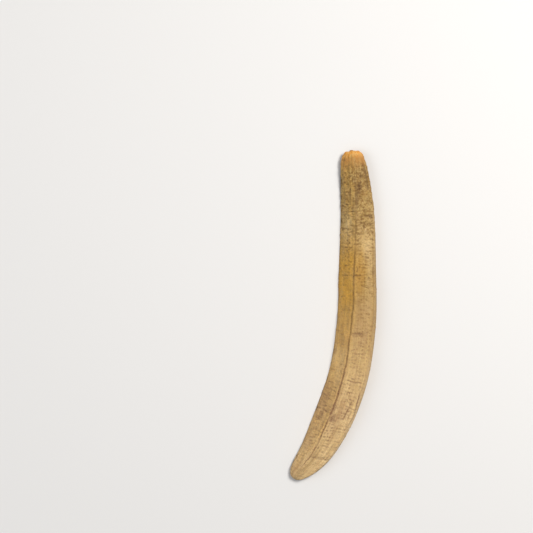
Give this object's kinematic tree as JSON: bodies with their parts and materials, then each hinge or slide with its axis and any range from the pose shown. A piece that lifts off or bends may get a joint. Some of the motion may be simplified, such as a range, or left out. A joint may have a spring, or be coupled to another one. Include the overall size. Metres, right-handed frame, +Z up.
{
  "type": "dried plantain half",
  "caption": "Half of a peeled plantain, cut lengthwise and dried: ridged golden skin side up, shallow hollow along the cut face it lies on.",
  "frame": {"origin": "below the middle of the bounding box, on the surface that the half rests on", "axes": "+Z up out of the rounded skin side; +Y along the fruit towards its narrower end; +X towards the outside of its bend"},
  "size_m": [0.0444, 0.1682, 0.0091],
  "materials": {
    "dried_flesh": "matte to satin golden-brown dried fruit flesh with fine strands and wrinkles"
  },
  "bodies": {
    "root": {"plantain_half": "dried_flesh"}
  },
  "joints": []
}
